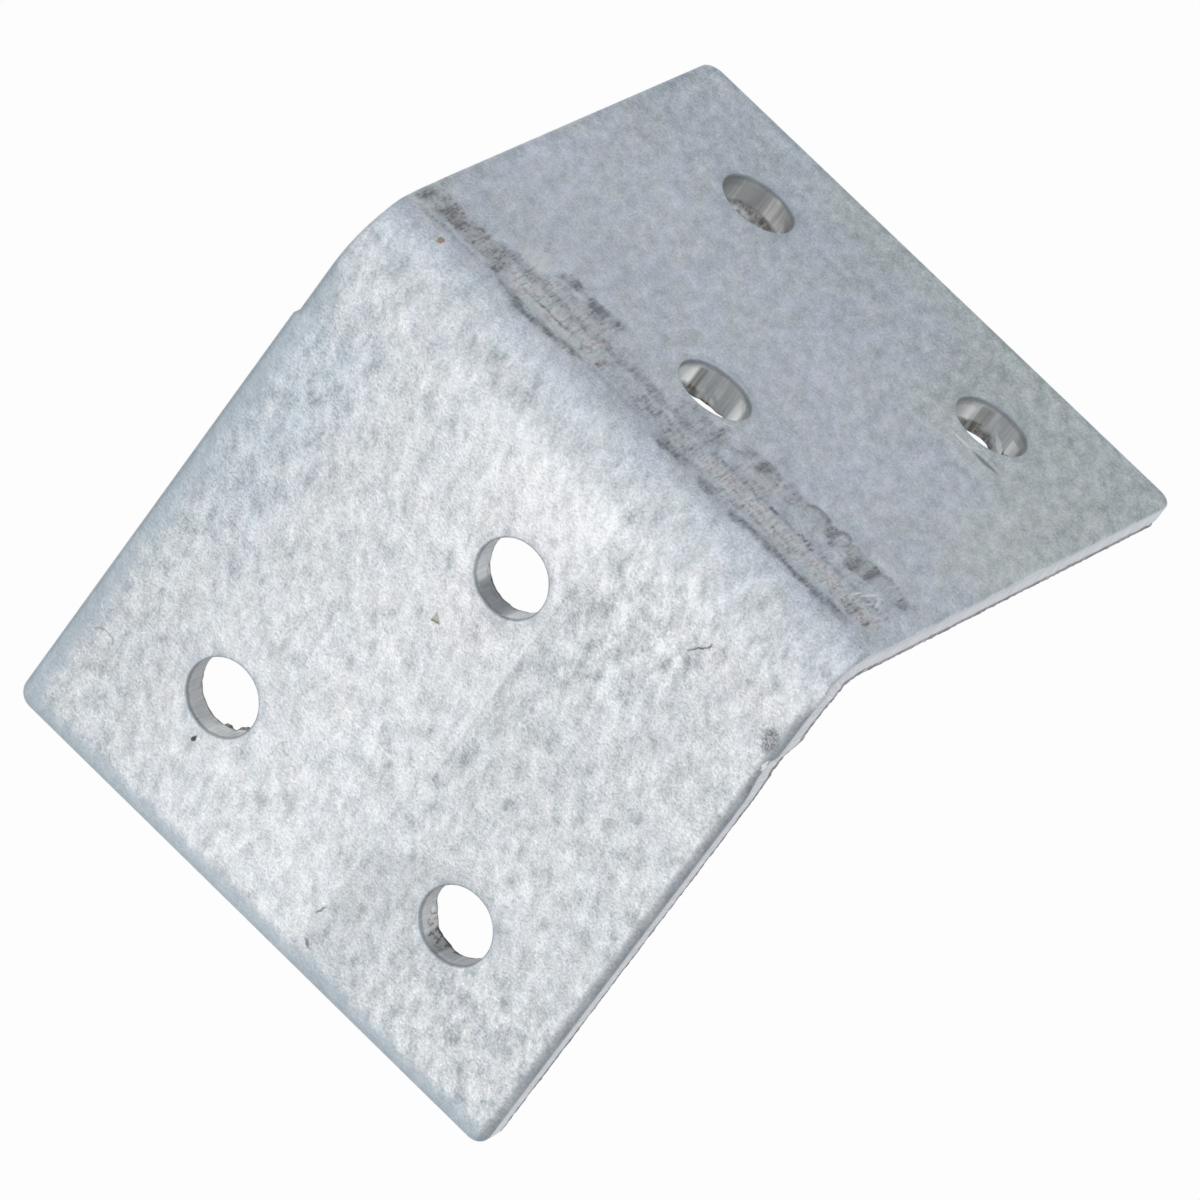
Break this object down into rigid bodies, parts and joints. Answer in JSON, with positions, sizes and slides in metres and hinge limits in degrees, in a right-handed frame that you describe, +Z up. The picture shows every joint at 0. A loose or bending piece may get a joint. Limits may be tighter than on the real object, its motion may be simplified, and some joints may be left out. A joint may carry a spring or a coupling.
{
  "type": "corner bracket",
  "caption": "Right-angle corner bracket folded from one galvanised steel sheet, with round screw holes in each leg.",
  "frame": {"origin": "middle of the bracket's box on the surface that it stands on", "axes": "+Z up, fold on top along X, front leg sloping down towards -Y, rear leg towards +Y"},
  "size_m": [0.04, 0.059, 0.0292],
  "materials": {
    "galvanised_steel": "hot-dip galvanised sheet, pale and finely mottled, with bare cut edges"
  },
  "bodies": {
    "root": {"corner_bracket": "galvanised_steel"}
  },
  "joints": []
}
